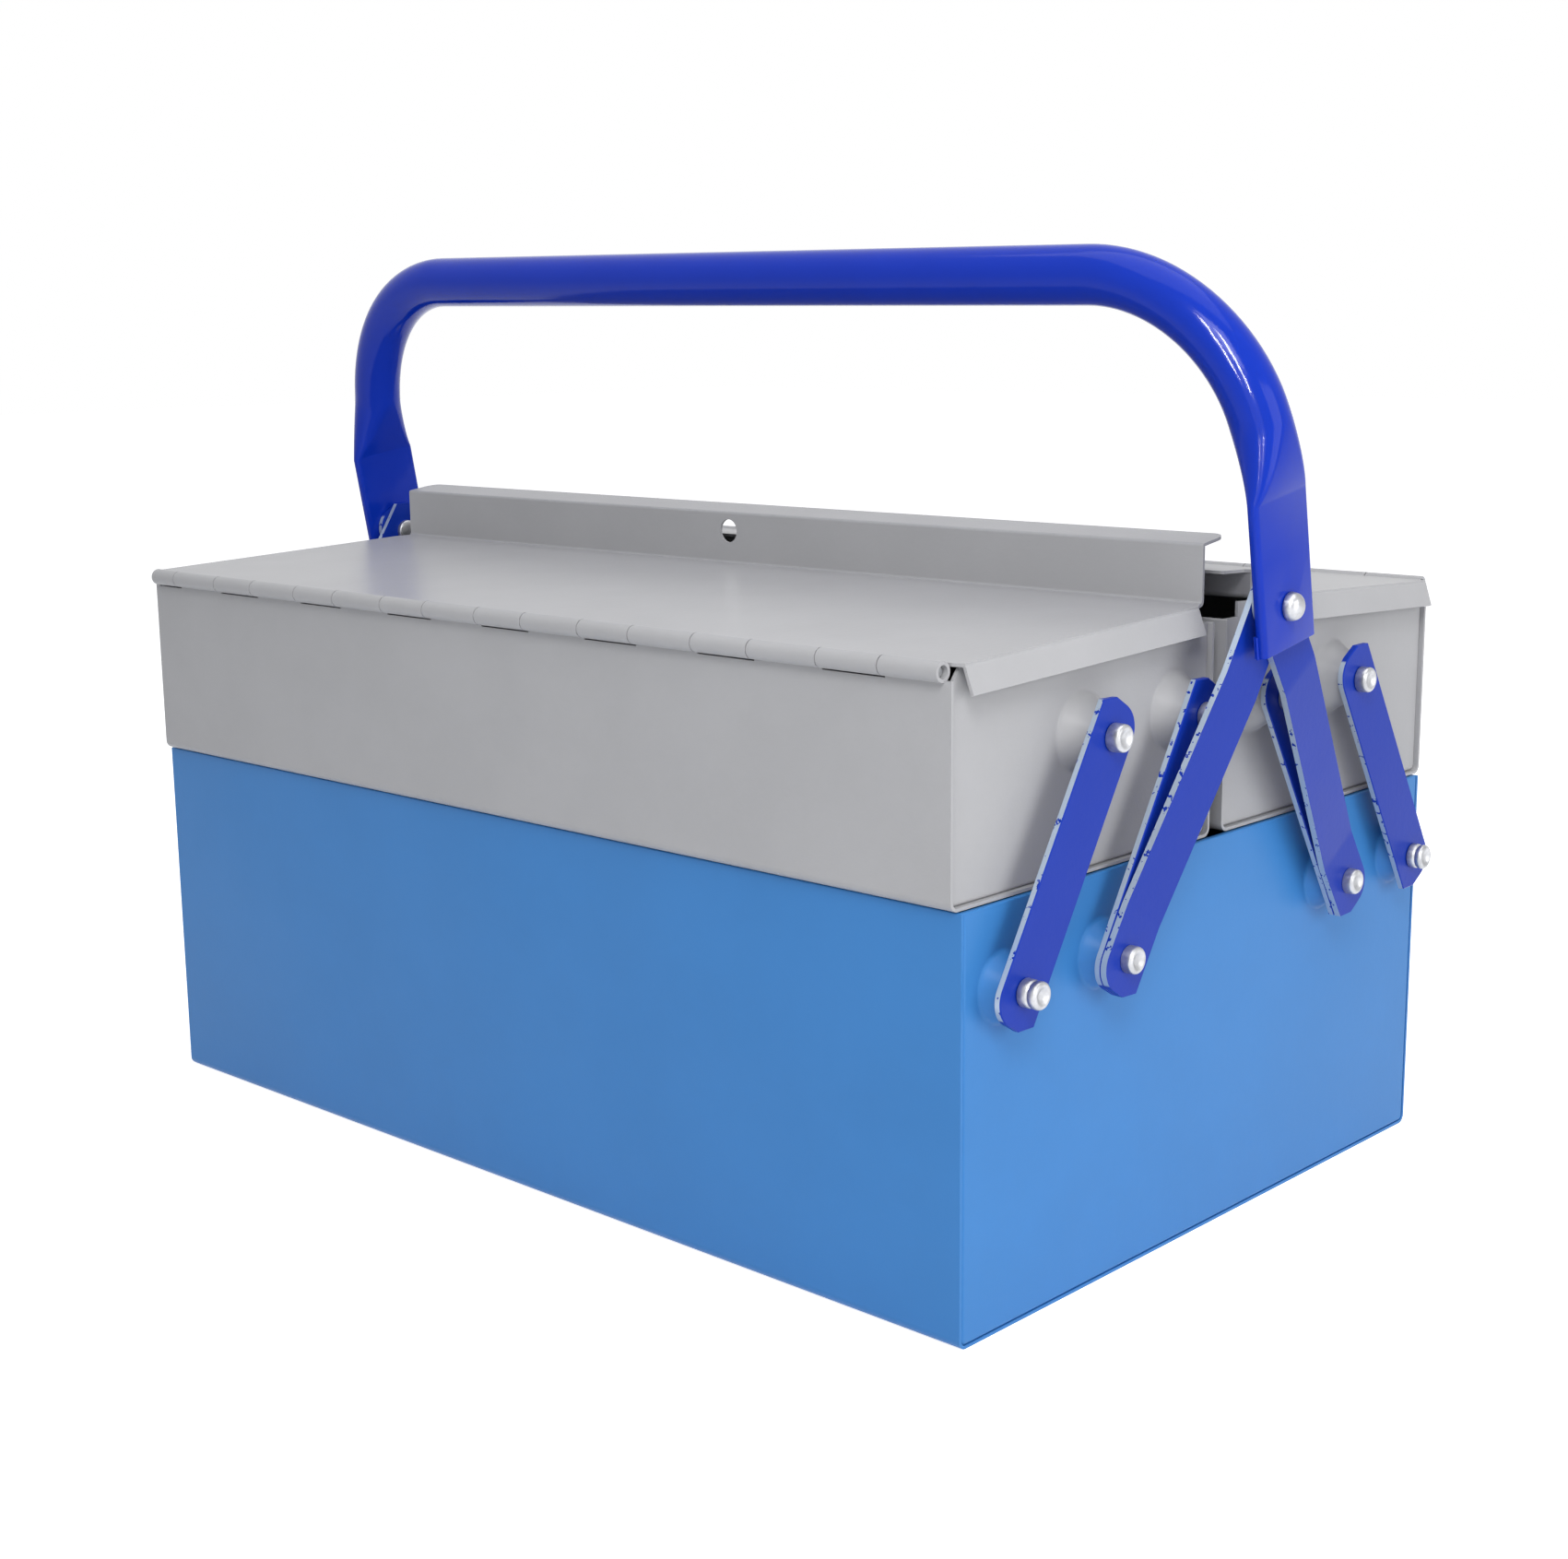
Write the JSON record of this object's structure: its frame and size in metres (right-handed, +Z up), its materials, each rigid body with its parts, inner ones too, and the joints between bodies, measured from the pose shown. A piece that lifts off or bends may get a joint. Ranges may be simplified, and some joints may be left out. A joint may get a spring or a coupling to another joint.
{
  "type": "cantilever tool box",
  "caption": "Two-tray cantilever tool box of folded steel: lidded grey trays swing out on parallel strap links over a light blue base, under a blue tubular bail handle",
  "frame": {"origin": "middle of the base's underside, on the surface the box stands on", "axes": "+X along the box to the end that the picture shows, -Y to the front with the ridged lid's tray, +Z up"},
  "size_m": [0.4548, 0.2752, 0.3183],
  "materials": {
    "base_blue": "gloss enamel with a light orange-peel",
    "tray_grey": "satin-gloss enamel with a fine orange-peel",
    "strap_blue": "gloss enamel, worn bright along the edges",
    "handle_blue": "smooth gloss enamel",
    "rivet_zinc": "zinc-plated, satin",
    "hinge_wire": "drawn wire"
  },
  "bodies": {
    "base": {"base_wrap": "base_blue", "base_end_left": "base_blue", "base_end_right": "base_blue", "base_rivets_left": "rivet_zinc", "base_rivets_right": "rivet_zinc", "front_long_arm_left": "strap_blue", "front_long_arm_right": "strap_blue", "handle_rivet_left": "rivet_zinc", "handle_rivet_right": "rivet_zinc", "rear_long_arm_left": "strap_blue", "rear_long_arm_right": "strap_blue"},
    "handle": {"handle": "handle_blue"},
    "front_outer_links": {"front_outer_link_left": "strap_blue", "front_outer_link_right": "strap_blue"},
    "front_inner_links": {"front_inner_link_left": "strap_blue", "front_inner_link_right": "strap_blue"},
    "front_tray": {"front_tray_end_left": "tray_grey", "front_tray_end_right": "tray_grey", "front_tray_rivets_left": "rivet_zinc", "front_tray_rivets_right": "rivet_zinc", "front_tray_wrap": "tray_grey", "front_hinge_pin": "hinge_wire"},
    "front_lid": {"front_lid": "tray_grey"},
    "rear_outer_links": {"rear_outer_link_left": "strap_blue", "rear_outer_link_right": "strap_blue"},
    "rear_inner_links": {"rear_inner_link_left": "strap_blue", "rear_inner_link_right": "strap_blue"},
    "rear_tray": {"rear_tray_end_left": "tray_grey", "rear_tray_end_right": "tray_grey", "rear_tray_rivets_left": "rivet_zinc", "rear_tray_rivets_right": "rivet_zinc", "rear_tray_wrap": "tray_grey", "rear_hinge_pin": "hinge_wire"},
    "rear_lid": {"rear_lid": "tray_grey"}
  },
  "joints": [
    {"name": "handle_swing", "type": "hinge", "parent": "base", "child": "handle", "pos_m": [0, 0, 0.2065], "axis": [1, 0, 0], "range_deg": [-94.5, 73.5]},
    {"name": "front_tray_open", "type": "hinge", "parent": "base", "child": "front_outer_links", "pos_m": [0, -0.1126, 0.106], "axis": [1, 0, 0], "range_deg": [0, 62.42]},
    {"name": "front_tray_level", "type": "hinge", "parent": "front_outer_links", "child": "front_tray", "pos_m": [0, -0.0714, 0.174], "axis": [1, 0, 0], "range_deg": [-62.42, 0]},
    {"name": "front_inner_links_turn", "type": "hinge", "parent": "base", "child": "front_inner_links", "pos_m": [0, -0.0646, 0.106], "axis": [1, 0, 0], "range_deg": [0, 62.42]},
    {"name": "front_lid_open", "type": "hinge", "parent": "front_tray", "child": "front_lid", "pos_m": [0, -0.1346, 0.1993], "axis": [1, 0, 0], "range_deg": [0, 235]},
    {"name": "rear_tray_open", "type": "hinge", "parent": "base", "child": "rear_outer_links", "pos_m": [0, 0.1126, 0.106], "axis": [-1, 0, 0], "range_deg": [0, 62.42]},
    {"name": "rear_tray_level", "type": "hinge", "parent": "rear_outer_links", "child": "rear_tray", "pos_m": [0, 0.0714, 0.174], "axis": [-1, 0, 0], "range_deg": [-62.42, 0]},
    {"name": "rear_inner_links_turn", "type": "hinge", "parent": "base", "child": "rear_inner_links", "pos_m": [0, 0.0646, 0.106], "axis": [-1, 0, 0], "range_deg": [0, 62.42]},
    {"name": "rear_lid_open", "type": "hinge", "parent": "rear_tray", "child": "rear_lid", "pos_m": [0, 0.1346, 0.1993], "axis": [-1, 0, 0], "range_deg": [0, 235]}
  ],
  "couplings": [
    {"joint": "front_tray_level", "follows": "front_tray_open", "ratio": -1},
    {"joint": "front_inner_links_turn", "follows": "front_tray_open", "ratio": 1},
    {"joint": "rear_tray_level", "follows": "rear_tray_open", "ratio": -1},
    {"joint": "rear_inner_links_turn", "follows": "rear_tray_open", "ratio": 1}
  ]
}
